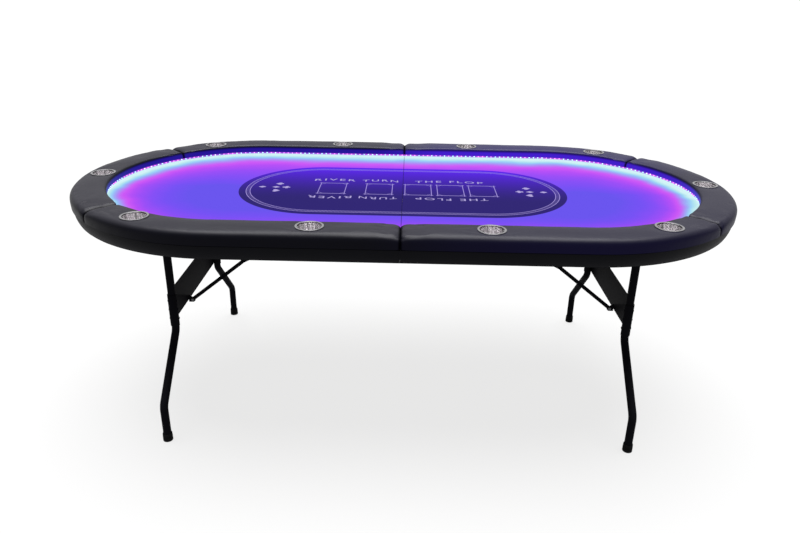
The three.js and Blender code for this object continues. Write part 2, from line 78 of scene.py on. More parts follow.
# ---- node tree helpers ----
class Tree:
    """A material's node tree, with short ways to add and join nodes."""

    def __init__(self, name):
        self.material = bpy.data.materials.new(name)
        self.material.use_nodes = True
        self.tree = self.material.node_tree
        self.shader = self.tree.nodes["Principled BSDF"]

    def node(self, kind, **settings):
        made = self.tree.nodes.new(kind)
        for key, value in settings.items():
            setattr(made, key, value)
        return made

    def link(self, source, target):
        self.tree.links.new(source, target)

    def feed(self, socket, value):
        if isinstance(value, bpy.types.NodeSocket):
            self.link(value, socket)
        else:
            socket.default_value = (*value, 1) if socket.type == "RGBA" else value

    def place(self):
        return self.node("ShaderNodeTexCoord").outputs["Object"]

    def axes(self):
        split = self.node("ShaderNodeSeparateXYZ")
        self.link(self.place(), split.inputs[0])
        return split.outputs

    def math(self, operation, a, b=0.0, c=0.0):
        made = self.node("ShaderNodeMath", operation=operation)
        for socket, value in zip(made.inputs, (a, b, c)):
            self.feed(socket, value)
        return made.outputs[0]

    plus = partialmethod(math, "ADD")
    minus = partialmethod(math, "SUBTRACT")
    times = partialmethod(math, "MULTIPLY")
    divide = partialmethod(math, "DIVIDE")
    power = partialmethod(math, "POWER")
    greater = partialmethod(math, "MAXIMUM")
    absolute = partialmethod(math, "ABSOLUTE")

    def span(self, value, low, high, to_low=0.0, to_high=1.0, smooth=False):
        made = self.node("ShaderNodeMapRange")
        if smooth:
            made.interpolation_type = "SMOOTHSTEP"
        numbers = (value, low, high, to_low, to_high)
        for key, number in zip(("Value", "From Min", "From Max", "To Min", "To Max"), numbers):
            self.feed(made.inputs[key], number)
        return made.outputs["Result"]

    def mix(self, factor, a, b):
        made = self.node("ShaderNodeMix", data_type="RGBA")
        self.feed(made.inputs[0], factor)
        self.feed(made.inputs[6], a)
        self.feed(made.inputs[7], b)
        return made.outputs[2]

    def noise(self, scale, detail=3.0, roughness=0.5, vector=None, stretch=None):
        made = self.node("ShaderNodeTexNoise")
        made.inputs["Scale"].default_value = scale
        made.inputs["Detail"].default_value = detail
        made.inputs["Roughness"].default_value = roughness
        source = vector or self.place()
        if stretch:
            mapping = self.node("ShaderNodeMapping")
            mapping.inputs["Scale"].default_value = stretch
            self.link(source, mapping.inputs["Vector"])
            source = mapping.outputs[0]
        self.link(source, made.inputs["Vector"])
        return made.outputs["Fac"]

    def cells(self, scale, feature="F1"):
        made = self.node("ShaderNodeTexVoronoi", feature=feature)
        made.inputs["Scale"].default_value = scale
        self.link(self.place(), made.inputs["Vector"])
        return made.outputs["Distance"]

    def ramp(self, value, stops, interpolation="LINEAR"):
        made = self.node("ShaderNodeValToRGB")
        made.color_ramp.interpolation = interpolation
        elements = made.color_ramp.elements
        while len(elements) > 1:
            elements.remove(elements[-1])
        elements[0].position, elements[0].color = stops[0][0], (*stops[0][1], 1)
        for position, color in stops[1:]:
            elements.new(position).color = (*color, 1)
        self.link(value, made.inputs["Fac"])
        return made.outputs["Color"]

    def bump(self, height, distance, strength=1.0, after=None):
        made = self.node("ShaderNodeBump")
        made.inputs["Distance"].default_value = distance
        made.inputs["Strength"].default_value = strength
        self.link(height, made.inputs["Height"])
        if after is not None:
            self.link(after, made.inputs["Normal"])
        return made.outputs["Normal"]

    def finish(self, **inputs):
        for key, value in inputs.items():
            self.feed(self.shader.inputs[key.replace("_", " ")], value)
        return self.material


def screen(red, green, blue):
    """Linear colour of a screen colour given from 0 to 255."""
    def linear(part):
        part /= 255
        return part / 12.92 if part <= 0.04045 else ((part + 0.055) / 1.055) ** 2.4
    return (linear(red), linear(green), linear(blue))


# ---- materials ----
def loop_distance(tree, axes, end_x):
    """Distance from the line between the centres of two rounded ends, at -end_x and end_x."""
    beyond = tree.greater(tree.minus(tree.absolute(axes[0]), end_x), 0.0)
    return tree.math("SQRT", tree.plus(tree.power(beyond, 2.0), tree.power(axes[1], 2.0)))


def lip_distance(tree, axes):
    """Distance from the rail's inner edge, and how far that edge faces the back (-1 to 1)."""
    reach = loop_distance(tree, axes, END_X)
    facing = tree.divide(axes[1], tree.greater(reach, 0.001))
    return tree.minus(LIP_RADIUS, reach), facing, reach


def crease_distance(tree, axes):
    """Distance from the nearest place where two rail pads meet, at the fold or halfway round a bend."""
    across = tree.absolute(axes[0])
    bend = tree.minus(tree.minus(across, END_X), tree.absolute(axes[1]))
    bend = tree.times(tree.absolute(bend), math.sqrt(0.5))
    return tree.math("MINIMUM", bend, tree.minus(across, SEAM_X))


def upward(tree):
    """How far the face looks up, in the piece's own frame."""
    split = tree.node("ShaderNodeSeparateXYZ")
    tree.link(tree.node("ShaderNodeTexCoord").outputs["Normal"], split.inputs[0])
    return split.outputs[2]


def leather(tree):
    """Height of a fine leather grain, and the crinkle in it."""
    crinkle = tree.noise(420.0, 4.0, 0.6)
    return tree.plus(tree.cells(950.0, "SMOOTH_F1"), tree.times(crinkle, 0.8)), crinkle


def rail_vinyl():
    """Black vinyl with painted light and shade: a lighter top, the strip's light along its inner edge, and
    painted shade where two pads meet.
    """
    tree = Tree("rail_vinyl")
    axes = tree.axes()
    grain, crinkle = leather(tree)
    # painted light: the top is lighter than the sides, set by how far the face looks up; its tone also varies
    # at random
    mottled_lit_top = tree.mix(tree.noise(9.0, 4.0), (0.0052, 0.0050, 0.0068), (0.0078, 0.0076, 0.0098))
    color = tree.mix(tree.span(upward(tree), 0.45, 0.97), (0.0013, 0.0013, 0.0021), mottled_lit_top)
    soft = tree.bump(tree.noise(34.0, 2.0), 0.0012, 0.35, tree.bump(grain, 0.00012, 0.55))
    _, facing, reach = lip_distance(tree, axes)
    # light of the strip: on the lip, as a haze over the far pads, and faintly towards the right
    drop = tree.minus(RAIL_TOP, axes[2])
    inner = tree.span(reach, LIP_RADIUS + 0.011, LIP_RADIUS - 0.0005, smooth=True)
    low = tree.span(drop, 0.0035, 0.015, smooth=True)
    lit = tree.times(tree.times(inner, low), tree.span(low, 0.0, 1.0, 0.35, 1.0))
    spill = tree.span(reach, LIP_RADIUS + 0.105, LIP_RADIUS, 0.09, 0.15, True)
    side = tree.times(tree.span(facing, 0.2, 1.0), tree.span(axes[0], -0.1, 0.12, 0.2, 1.0))
    haze = tree.times(spill, side)
    cast = tree.span(axes[0], -0.1, 0.35, 0.004, 0.026)
    right = tree.span(axes[0], -0.1, 0.15)
    glow = tree.mix(right, (0.016, 0.005, 0.30), (0.045, 0.009, 0.52))
    # painted shade in the crease at the ends of the pads: darker colour, less shine and weaker painted strip
    # light
    clear = tree.span(crease_distance(tree, axes), 0.8 * MM, 8 * MM, smooth=True)
    color = tree.mix(clear, (0.0004, 0.0004, 0.0007), color)
    strength = tree.plus(tree.plus(lit, haze), cast)
    shine = tree.span(clear, 0.0, 1.0, 0.04, 0.5)
    return tree.finish(Base_Color=color, Roughness=tree.span(crinkle, 0.3, 0.7, 0.34, 0.46), Normal=soft,
                       IOR=1.12, Specular_IOR_Level=shine, Emission_Color=glow,
                       Emission_Strength=tree.times(strength, tree.span(clear, 0.0, 1.0, 0.1, 1.0)))


def apron_vinyl():
    tree = Tree("apron_vinyl")
    grain, crinkle = leather(tree)
    color = tree.mix(tree.noise(7.0, 4.0), (0.0016, 0.0016, 0.0026), (0.0026, 0.0026, 0.0040))
    normal = tree.bump(tree.noise(28.0, 2.0), 0.001, 0.3, tree.bump(grain, 0.00012, 0.5))
    rough = tree.span(crinkle, 0.3, 0.7, 0.42, 0.58)
    return tree.finish(Base_Color=color, Roughness=rough, Normal=normal, IOR=1.13)


# the cloth's printed panel, its border and its card boxes
PANEL_HALF = 0.272
PANEL_REACH = 0.546
BORDER_INSET = 0.024
BORDER_WIDTH = 0.013
LINE = 0.0019
CARD_BOX = (0.0440, 0.060)
CARD_BOX_OVERSHOOT = 0.006
CARD_BOX_Y = 0.004
CARD_BOX_X = (-0.2365, -0.0795, 0.0515, 0.1600, 0.2680)
# painted light: the glow of the printed lines, standing for the strip's light on the ink
INK_GLOW = screen(176, 158, 232)


def line_mask(tree, distance, half_width):
    """1 where the distance is within half a line of zero."""
    return tree.span(tree.absolute(distance), half_width + 0.0003, half_width - 0.0003)


def card_box_mask(tree, axes, x):
    """A card's outline whose lines cross at the corners, with a slanted line inside each corner."""
    across = tree.absolute(tree.minus(axes[0], x))
    along = tree.absolute(tree.minus(axes[1], CARD_BOX_Y))
    half_x, half_y = CARD_BOX
    over_x = tree.minus(across, half_x)
    over_y = tree.minus(along, half_y)
    end, fade = CARD_BOX_OVERSHOOT, CARD_BOX_OVERSHOOT - 0.0005
    side = tree.times(line_mask(tree, over_x, 0.0011), tree.span(over_y, end, fade))
    top = tree.times(line_mask(tree, over_y, 0.0016), tree.span(over_x, end, fade))
    slant = tree.plus(tree.plus(over_x, over_y), 0.017)
    corner = tree.times(line_mask(tree, slant, 0.0012), tree.span(over_x, 0.0, -0.0005))
    corner = tree.times(corner, tree.span(over_y, 0.0, -0.0005))
    return tree.greater(tree.greater(side, top), tree.times(corner, 0.7))


# the glow on the cloth, as screen colours by distance from the rail
GLOW_STOPS = (
    (0.000, (218, 253, 253)), (0.010, (192, 241, 244)), (0.020, (160, 217, 253)), (0.030, (163, 180, 253)),
    (0.040, (182, 145, 252)), (0.050, (205, 110, 253)), (0.060, (212, 90, 252)), (0.080, (188, 80, 253)),
    (0.110, (160, 79, 253)), (0.150, (138, 80, 252)), (0.200, (121, 82, 250)), (0.280, (108, 86, 244)),
)
GLOW_REACH = 0.30


def speed_cloth():
    """Woven cloth with a printed panel; the rail's light on it is painted as a glow."""
    tree = Tree("speed_cloth")
    axes = tree.axes()
    distance, facing, _ = lip_distance(tree, axes)
    waver = tree.span(tree.noise(7.0, 2.0), 0.3, 0.7, -0.010, 0.010)
    behind = tree.power(tree.greater(facing, 0.0), 0.8)
    ahead = tree.greater(tree.times(facing, -1.0), 0.0)
    width = tree.plus(1.0, tree.minus(behind, tree.times(ahead, 0.30)))
    spread = tree.divide(tree.plus(distance, waver), width)
    glow = tree.ramp(tree.divide(spread, GLOW_REACH),
                     [(at / GLOW_REACH, screen(*color)) for at, color in GLOW_STOPS])
    # printed centre panel
    inset = tree.minus(PANEL_HALF, loop_distance(tree, axes, PANEL_REACH - PANEL_HALF))
    panel = tree.span(inset, -0.0004, 0.0004)
    # painted light on the panel: its glow runs from dim at the front to bright at the back
    lifted = tree.power(tree.span(axes[1], -0.12, PANEL_HALF - 0.02), 1.7)
    shade = tree.mix(lifted, screen(46, 36, 112), screen(94, 38, 242))
    lit = tree.mix(panel, glow, shade)
    # border of two lines with slanted hatching between them
    border_end = BORDER_INSET + BORDER_WIDTH
    outer = line_mask(tree, tree.minus(inset, BORDER_INSET), LINE / 2)
    inner = line_mask(tree, tree.minus(inset, border_end), LINE / 2)
    stripe = tree.math("FRACT", tree.times(tree.plus(axes[0], axes[1]), 90.0))
    between = tree.times(tree.span(inset, BORDER_INSET, BORDER_INSET + 0.0005),
                        tree.span(inset, border_end, border_end - 0.0005))
    hatch = tree.times(tree.times(tree.span(stripe, 0.52, 0.6), between), 0.28)
    marks = tree.greater(tree.greater(outer, inner), hatch)
    for x in CARD_BOX_X:
        marks = tree.greater(marks, card_box_mask(tree, axes, x))
    lit = tree.mix(marks, lit, INK_GLOW)
    cloth = tree.mix(panel, (0.0004, 0.0003, 0.0016), (0.0002, 0.0001, 0.0006))
    cloth = tree.mix(tree.times(marks, 0.8), cloth, (0.006, 0.0055, 0.008))
    mottle = tree.noise(700.0, 3.0)
    lit = tree.mix(tree.span(mottle, 0.3, 0.7, 0.0, 0.10), lit, (0.05, 0.02, 0.45))
    # painted shade along the fold between the two halves: the glow is darkened there
    crease = tree.span(tree.absolute(axes[0]), 0.0018, 0.0010, 0.0, 0.45)
    lit = tree.mix(crease, lit, (0.012, 0.008, 0.08))
    # woven face: two crossing ribs
    across = tree.math("SINE", tree.times(tree.plus(axes[0], axes[1]), 5200.0))
    along = tree.math("SINE", tree.times(tree.minus(axes[0], axes[1]), 5200.0))
    weave = tree.plus(across, tree.times(along, 0.6))
    return tree.finish(Base_Color=cloth, Roughness=0.78, Normal=tree.bump(weave, 0.00008, 0.5),
                       IOR=1.04, Emission_Color=lit, Emission_Strength=0.96)


def printed_ink():
    tree = Tree("printed_ink")
    grain = tree.noise(900.0, 3.0)
    # painted light: the ink glows with the strip's light, varied at random by the grain
    glow = tree.mix(tree.span(grain, 0.3, 0.7), screen(168, 152, 226), screen(206, 192, 246))
    return tree.finish(Base_Color=(0.006, 0.0055, 0.008), Roughness=0.7, IOR=1.1,
                       Normal=tree.bump(grain, 0.00005, 0.4), Emission_Color=glow, Emission_Strength=0.8)


def drawn_steel():
    """Stainless steel drawn into a cup: fine lines run up the wall, on the piece's own UV map."""
    tree = Tree("drawn_steel")
    uv = tree.node("ShaderNodeUVMap", uv_map="wall").outputs[0]
    fine = tree.noise(1.0, 4.0, 0.65, uv, (150.0, 2.5, 1.0))
    broad = tree.noise(1.0, 2.0, 0.5, uv, (26.0, 0.8, 1.0))
    streak = tree.plus(tree.times(fine, 0.55), tree.times(broad, 0.6))
    rim = tree.span(tree.axes()[2], RAIL_TOP - 2.5 * MM, RAIL_TOP - 0.6 * MM)
    wall = tree.mix(tree.span(streak, 0.44, 0.66), (0.12, 0.115, 0.125), (0.98, 0.95, 0.97))
    color = tree.mix(rim, wall, (0.36, 0.355, 0.37))
    # painted shade: faces that slope between flat and upright, on the rolled rim and shoulder, are darkened
    # to dim the overhead highlight there
    up = upward(tree)
    tilt_shade = tree.times(tree.span(up, 0.08, 0.2), tree.span(up, 0.99, 0.96))
    color = tree.mix(tilt_shade, color, (0.035, 0.034, 0.036))
    rough = tree.plus(tree.span(fine, 0.3, 0.7, 0.0, 0.12), tree.span(rim, 0.0, 1.0, 0.27, 0.10))
    return tree.finish(Base_Color=color, Metallic=1.0, Roughness=rough, Normal=tree.bump(streak, 0.0006, 0.5))


def powder_coat():
    tree = Tree("powder_coat")
    peel = tree.noise(650.0, 3.0, 0.55)
    scuff = tree.span(tree.noise(45.0, 6.0, 0.7), 0.62, 0.75, 0.0, 0.35)
    color = tree.mix(scuff, (0.0030, 0.0030, 0.0040), (0.0090, 0.0090, 0.0100))
    rough = tree.plus(tree.span(peel, 0.3, 0.7, 0.40, 0.52), tree.times(scuff, 0.3))
    return tree.finish(Base_Color=color, Roughness=rough, Normal=tree.bump(peel, 0.0002, 0.4), IOR=1.04)


def foot_rubber():
    tree = Tree("foot_rubber")
    grain = tree.noise(900.0, 4.0, 0.6)
    dust = tree.span(tree.axes()[2], 0.012, 0.0, 0.0, 0.5)
    color = tree.mix(dust, (0.0022, 0.0022, 0.0025), (0.008, 0.008, 0.008))
    return tree.finish(Base_Color=color, Roughness=tree.span(grain, 0.3, 0.7, 0.62, 0.8),
                       Normal=tree.bump(grain, 0.00018, 0.6), IOR=1.12)


def zinc_steel():
    """Steel with a dark zinc finish."""
    tree = Tree("zinc_steel")
    spangle = tree.cells(240.0)
    scratch = tree.noise(300.0, 5.0, 0.7)
    color = tree.mix(tree.span(spangle, 0.0, 1.0), (0.055, 0.055, 0.060), (0.10, 0.10, 0.105))
    return tree.finish(Base_Color=color, Metallic=1.0, Roughness=tree.span(scratch, 0.3, 0.7, 0.28, 0.48),
                       Normal=tree.bump(scratch, 0.00006, 0.4))


def plywood():
    """Birch plywood: long grain on its faces and thin layers on its edges."""
    tree = Tree("plywood")
    axes = tree.axes()
    grain = tree.noise(1.0, 6.0, 0.62, None, (9.0, 190.0, 30.0))
    figure = tree.noise(1.0, 3.0, 0.5, None, (2.2, 16.0, 4.0))
    layer = tree.math("FRACT", tree.times(axes[2], 1 / 0.003))
    face = tree.node("ShaderNodeSeparateXYZ")
    tree.link(tree.node("ShaderNodeNewGeometry").outputs["True Normal"], face.inputs[0])
    edge = tree.span(tree.absolute(face.outputs[2]), 0.6, 0.4)
    color = tree.mix(grain, (0.23, 0.135, 0.062), (0.42, 0.275, 0.145))
    color = tree.mix(tree.span(figure, 0.45, 0.7, 0.0, 0.5), color, (0.30, 0.165, 0.07))
    plies = tree.mix(tree.span(layer, 0.48, 0.52), (0.17, 0.095, 0.045), (0.40, 0.27, 0.15))
    color = tree.mix(edge, color, plies)
    return tree.finish(Base_Color=color, Roughness=tree.span(grain, 0.3, 0.7, 0.5, 0.68),
                       Normal=tree.bump(grain, 0.00025, 0.5))


def painted_board():
    """Board under the rail, painted black, with the grain showing faintly."""
    tree = Tree("painted_board")
    grain = tree.noise(1.0, 6.0, 0.62, None, (9.0, 190.0, 30.0))
    color = tree.mix(grain, (0.0020, 0.0020, 0.0024), (0.0050, 0.0048, 0.0052))
    return tree.finish(Base_Color=color, Roughness=tree.span(grain, 0.3, 0.7, 0.55, 0.75), IOR=1.15,
                       Normal=tree.bump(grain, 0.0002, 0.4))


def black_plastic():
    tree = Tree("black_plastic")
    spark = tree.noise(1300.0, 2.0)
    color = tree.mix(tree.noise(30.0), (0.012, 0.012, 0.013), (0.02, 0.02, 0.021))
    return tree.finish(Base_Color=color, Roughness=tree.span(spark, 0.3, 0.7, 0.42, 0.55),
                       Normal=tree.bump(spark, 0.00015, 0.6))


def strip_film():
    """The lit ribbon: bright where it meets the cloth, violet along its upper edge."""
    tree = Tree("strip_film")
    weave = tree.noise(500.0, 3.0)
    axes = tree.axes()
    upper = tree.mix(tree.span(tree.noise(22.0, 2.0), 0.4, 0.6), (0.25, 0.04, 0.75), (0.60, 0.06, 0.95))
    glow = tree.mix(tree.span(axes[2], LAMP_Z - 0.0045, LAMP_Z - 0.0015), (0.68, 0.96, 0.98), upper)
    return tree.finish(Base_Color=(0.02, 0.022, 0.024), Roughness=0.5, Normal=tree.bump(weave, 0.0001, 0.4),
                       Emission_Color=glow, Emission_Strength=0.9)


def lamp_lens():
    tree = Tree("lamp_lens")
    hue = tree.node("ShaderNodeAttribute", attribute_name="hue").outputs["Fac"]
    glow = tree.ramp(hue, [(0.0, (0.35, 1.0, 1.0)), (0.45, (1.0, 1.0, 1.0)), (0.50, (0.9, 0.10, 1.0)),
                           (0.88, (0.25, 0.55, 1.0))], "CONSTANT")
    haze = tree.noise(800.0)
    return tree.finish(Base_Color=(0.9, 0.92, 0.95), Roughness=tree.span(haze, 0.3, 0.7, 0.12, 0.25),
                       Emission_Color=glow, Emission_Strength=1.6)


MATERIALS = {
    make.__name__: make()
    for make in (rail_vinyl, apron_vinyl, speed_cloth, printed_ink, drawn_steel, powder_coat, foot_rubber,
                 zinc_steel, plywood, painted_board, black_plastic, strip_film, lamp_lens)
}


# ---- mesh helpers ----
def put(name, data):
    """A new object in the scene."""
    made = bpy.data.objects.new(name, data)
    bpy.context.collection.objects.link(made)
    return made


def mesh_of(name, bm):
    mesh = bpy.data.meshes.new(name)
    bm.to_mesh(mesh)
    bm.free()
    return mesh


def evaluated_mesh(holder):
    """The holder's mesh with its modifiers run."""
    return bpy.data.meshes.new_from_object(holder.evaluated_get(bpy.context.evaluated_depsgraph_get()))


def new_object(name, mesh, material):
    piece = put(name, mesh)
    mesh.materials.clear()
    mesh.materials.append(MATERIALS[material])
    return piece


def from_bmesh(name, bm, material, smooth_angle=40.0):
    bmesh.ops.recalc_face_normals(bm, faces=bm.faces)
    piece = new_object(name, mesh_of(name, bm), material)
    smooth(piece, smooth_angle)
    return piece


def smooth(piece, angle):
    """Shades the piece smooth, with sharp edges past the angle in degrees."""
    mesh = piece.data
    mesh.shade_smooth()
    bm = bmesh.new()
    bm.from_mesh(mesh)
    limit = math.radians(angle)
    for edge in bm.edges:
        edge.smooth = len(edge.link_faces) == 2 and edge.calc_face_angle(0.0) < limit
    bm.to_mesh(mesh)
    bm.free()


def applied(piece):
    """Turns the piece's modifiers into plain mesh."""
    old, mesh = piece.data, evaluated_mesh(piece)
    piece.modifiers.clear()
    piece.data = mesh
    bpy.data.meshes.remove(old)


def hand_over(piece, body, node=None):
    """Hangs the piece on the body that it rides on, and hides the frame node that it stands for."""
    if node:
        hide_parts(node)
    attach(piece, body)


def arc(total, steps, first=1):
    """Angles at the steps of an arc."""
    return [total * k / steps for k in range(first, steps + 1)]


def grid_faces(bm, rows):
    """Quads between closed rows of vertices, and a flat face at each end."""
    for first, second in zip(rows, rows[1:]):
        count = len(first)
        for i in range(count):
            j = (i + 1) % count
            bm.faces.new((first[i], first[j], second[j], second[i]))
    bm.faces.new(rows[0])
    bm.faces.new(list(reversed(rows[-1])))


def sweep(name, rows_of_points, material, smooth_angle=40.0):
    """A closed tube of cross sections, each a list of points, with flat ends."""
    bm = bmesh.new()
    grid_faces(bm, [[bm.verts.new(point) for point in row] for row in rows_of_points])
    return from_bmesh(name, bm, material, smooth_angle)


def travelled(profile):
    """How far along a section each of its points lies."""
    travel = [0.0]
    for (x0, z0, *_), (x1, z1, *_) in zip(profile, profile[1:]):
        travel.append(travel[-1] + math.hypot(x1 - x0, z1 - z0))
    return travel


def lathe(name, profile, origin, material, steps=64, smooth_angle=40.0, uv_name=None):
    """A body turned about Z from (radius, height) points that start and end on the axis."""
    bm = bmesh.new()
    layer = bm.loops.layers.uv.new(uv_name) if uv_name else None
    rings = []
    for radius, height in profile:
        if radius < 1e-7:
            rings.append([bm.verts.new((origin[0], origin[1], height))])
            continue
        rings.append([bm.verts.new((origin[0] + radius * math.cos(angle),
                                    origin[1] + radius * math.sin(angle), height))
                      for angle in arc(2 * math.pi, steps, 0)[:-1]])
    travel = travelled(profile)
    for row, (low, high) in enumerate(zip(rings, rings[1:])):
        for k in range(steps):
            j = (k + 1) % steps
            corners = [(low, k, row), (low, j, row), (high, j, row + 1), (high, k, row + 1)]
            seen, verts, places = set(), [], []
            for ring, index, level in corners:
                vert = ring[index if len(ring) > 1 else 0]
                if vert in seen:
                    continue
                seen.add(vert)
                verts.append(vert)
                turn = (k + 1) / steps if index == j else k / steps
                places.append((turn, travel[level] * 10))
            face = bm.faces.new(verts)
            if layer:
                for loop, place in zip(face.loops, places):
                    loop[layer].uv = place
    return from_bmesh(name, bm, material, smooth_angle)


def tube_rows(stations, radius, sides=24):
    """Circles round a planar path of (point, direction) stations."""
    rows = []
    for at, along in stations:
        along = along.normalized()
        side = Vector((1, 0, 0)) if abs(along.x) < 0.9 else Vector((0, 1, 0))
        across = along.cross(side).normalized()
        side = across.cross(along).normalized()
        rows.append([at + (side * math.cos(a) + across * math.sin(a)) * radius
                     for a in arc(2 * math.pi, sides, 0)[:-1]])
    return rows


def bent_path(corners, bend_radius, steps=10):
    """Stations along straight runs between corners, with a round bend at each."""
    corners = [Vector(corner) for corner in corners]
    stations = [(corners[0], (corners[1] - corners[0]).normalized())]
    for before, corner, after in zip(corners, corners[1:], corners[2:]):
        into = (corner - before).normalized()
        out_of = (after - corner).normalized()
        turn = into.angle(out_of)
        start = corner - into * bend_radius * math.tan(turn / 2)
        inward = (out_of - into * math.cos(turn)).normalized()
        hub = start + inward * bend_radius
        for angle in arc(turn, steps, 0):
            at = hub - inward * bend_radius * math.cos(angle) + into * bend_radius * math.sin(angle)
            stations.append((at, into * math.cos(angle) + inward * math.sin(angle)))
    stations.append((corners[-1], (corners[-1] - corners[-2]).normalized()))
    return stations


def refined(node, material, body, bevel=0.4 * MM):
    """A copy of a frame node with merged corners and softened edges, standing for the node."""
    bm = bmesh.new()
    bm.from_mesh(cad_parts[node].data)
    bmesh.ops.remove_doubles(bm, verts=bm.verts, dist=1e-6)
    bmesh.ops.dissolve_limit(bm, angle_limit=math.radians(1.0), verts=bm.verts, edges=bm.edges)
    piece = new_object(node + "_soft", mesh_of(node + "_soft", bm), material)
    edges = piece.modifiers.new("edges", "BEVEL")
    edges.width = bevel
    edges.segments = 2
    edges.limit_method = "ANGLE"
    edges.angle_limit = math.radians(30.0)
    applied(piece)
    smooth(piece, 35.0)
    hand_over(piece, body, node)


# ---- paths along the table's outline ----
STRAIGHT = END_X - SEAM_X
ARC = math.pi * HALF_WIDTH
OUTLINE_LENGTH = 2 * STRAIGHT + ARC
QUARTER = STRAIGHT + ARC / 4  # where the front and end pads meet


def outline(s, side):
    """Point of the outline, and the way inwards, at s metres from the front of the fold."""
    if s < STRAIGHT:
        at, inward = (SEAM_X + s, -HALF_WIDTH), (0.0, 1.0)
    elif s > STRAIGHT + ARC:
        at, inward = (SEAM_X + OUTLINE_LENGTH - s, HALF_WIDTH), (0.0, -1.0)
    else:
        angle = (s - STRAIGHT) / HALF_WIDTH - math.pi / 2
        at = (END_X + HALF_WIDTH * math.cos(angle), HALF_WIDTH * math.sin(angle))
        inward = (-math.cos(angle), -math.sin(angle))
    return Vector((at[0] * side, at[1], 0)), Vector((inward[0] * side, inward[1], 0))


def ring_rows(profile, stops, side):
    """Cross sections of (inset, height) points set along the outline at the given stops."""
    rows = []
    for s in stops:
        at, inward = outline(s, side)
        rows.append([at + inward * inset + Vector((0, 0, height)) for inset, height in profile])
    return rows


def even_stops(start, end, step):
    count = max(1, round((end - start) / step))
    return [start + (end - start) * i / count for i in range(count + 1)]


# ---- padded rail ----
OUTER_ROUND = 21 * MM
INNER_ROUND = 9 * MM
CROWN = 1.6 * MM
LIP_BOTTOM = BOARD_TOP + 2.2 * MM
SKIRT_DEPTH = 7.8 * MM
PAD_GAP = 0.4 * MM
PAD_STEP = 6 * MM
SEAT_REACH = 62 * MM
SEAT_BLEND = 20 * MM
CUP_GRIP = 45 * MM


def rail_profile():
    """Closed section of a rail pad as (inset, height, softness): softness is 1 where foam lies."""
    points = []
    rise = RAIL_TOP - OUTER_ROUND - SKIRT_BOTTOM
    for k in range(6):
        t = k / 6
        inset = 0.8 * MM - 0.8 * MM * math.sin(t * math.pi / 2)
        points.append((inset, SKIRT_BOTTOM + rise * t, 0.12 + 0.2 * t))
    for angle in arc(math.pi / 2, 8, 0):
        points.append((OUTER_ROUND * (1 - math.cos(angle)), RAIL_TOP - OUTER_ROUND * (1 - math.sin(angle)),
                       0.35 + 0.65 * math.sin(angle)))
    flat = RAIL_WIDTH - OUTER_ROUND - INNER_ROUND
    for k in range(1, 16):
        t = k / 16
        points.append((OUTER_ROUND + flat * t, RAIL_TOP + CROWN * math.sin(math.pi * t), 1.0))
    for angle in arc(math.pi / 2, 5, 0):
        points.append((RAIL_WIDTH - INNER_ROUND * (1 - math.sin(angle)),
                       RAIL_TOP - INNER_ROUND * (1 - math.cos(angle)), 0.9))
    for k in range(1, 5):
        height = RAIL_TOP - INNER_ROUND + (LIP_BOTTOM + 2 * MM - RAIL_TOP + INNER_ROUND) * k / 4
        points.append((RAIL_WIDTH, height, 0.7 - 0.15 * k))
    points.append((RAIL_WIDTH - 1.5 * MM, LIP_BOTTOM + 0.2 * MM, 0.0))
    for k in range(9):
        points.append((RAIL_WIDTH - 4 * MM - (RAIL_WIDTH - 13 * MM) * k / 8, BOARD_TOP + 0.3 * MM, 0.0))
    return points + [(SKIRT_DEPTH, BOARD_TOP - 1 * MM, 0.0), (SKIRT_DEPTH, SKIRT_BOTTOM, 0.0)]


def profile_normals(points):
    """Outward directions at the points of a closed section."""
    normals = []
    count = len(points)
    for i in range(count):
        (x0, z0, _), (x1, z1, _) = points[i - 1], points[(i + 1) % count]
        length = math.hypot(x1 - x0, z1 - z0) or 1.0
        normals.append((-(z1 - z0) / length, (x1 - x0) / length))
    return normals


PINCH_REACH = 26 * MM
PINCH_DEPTH = 13 * MM


def pinch(distance):
    """How far the vinyl is drawn in at a distance from the pad's end."""
    if distance >= PINCH_REACH:
        return 0.0
    t = 1 - distance / PINCH_REACH
    return PINCH_DEPTH * (1 - math.sqrt(max(0.0, 1 - t * t)))


def ripple(s, along, end_distance, seed):
    """Small gathers that fan out from a pad's end, and a slow unevenness of the foam."""
    gather = math.sin(along / (7.5 * MM) + seed + end_distance / (16 * MM))
    gather *= math.exp(-end_distance / (24 * MM))
    slow = noise.noise(Vector((s * 9, along * 22, seed)))
    fine = noise.noise(Vector((s * 45, along * 60, seed + 7)))
    return 0.9 * MM * gather + 0.75 * MM * slow + 0.18 * MM * fine


def cup_dip(point, cups):
    """Lowers the crown to the flat seat of a cup's rim."""
    dip = 0.0
    for cup in cups:
        away = math.hypot(point.x - cup.x, point.y - cup.y)
        t = min(1.0, max(0.0, (SEAT_REACH - away) / SEAT_BLEND))
        dip = max(dip, t * t * (3 - 2 * t))
    return dip


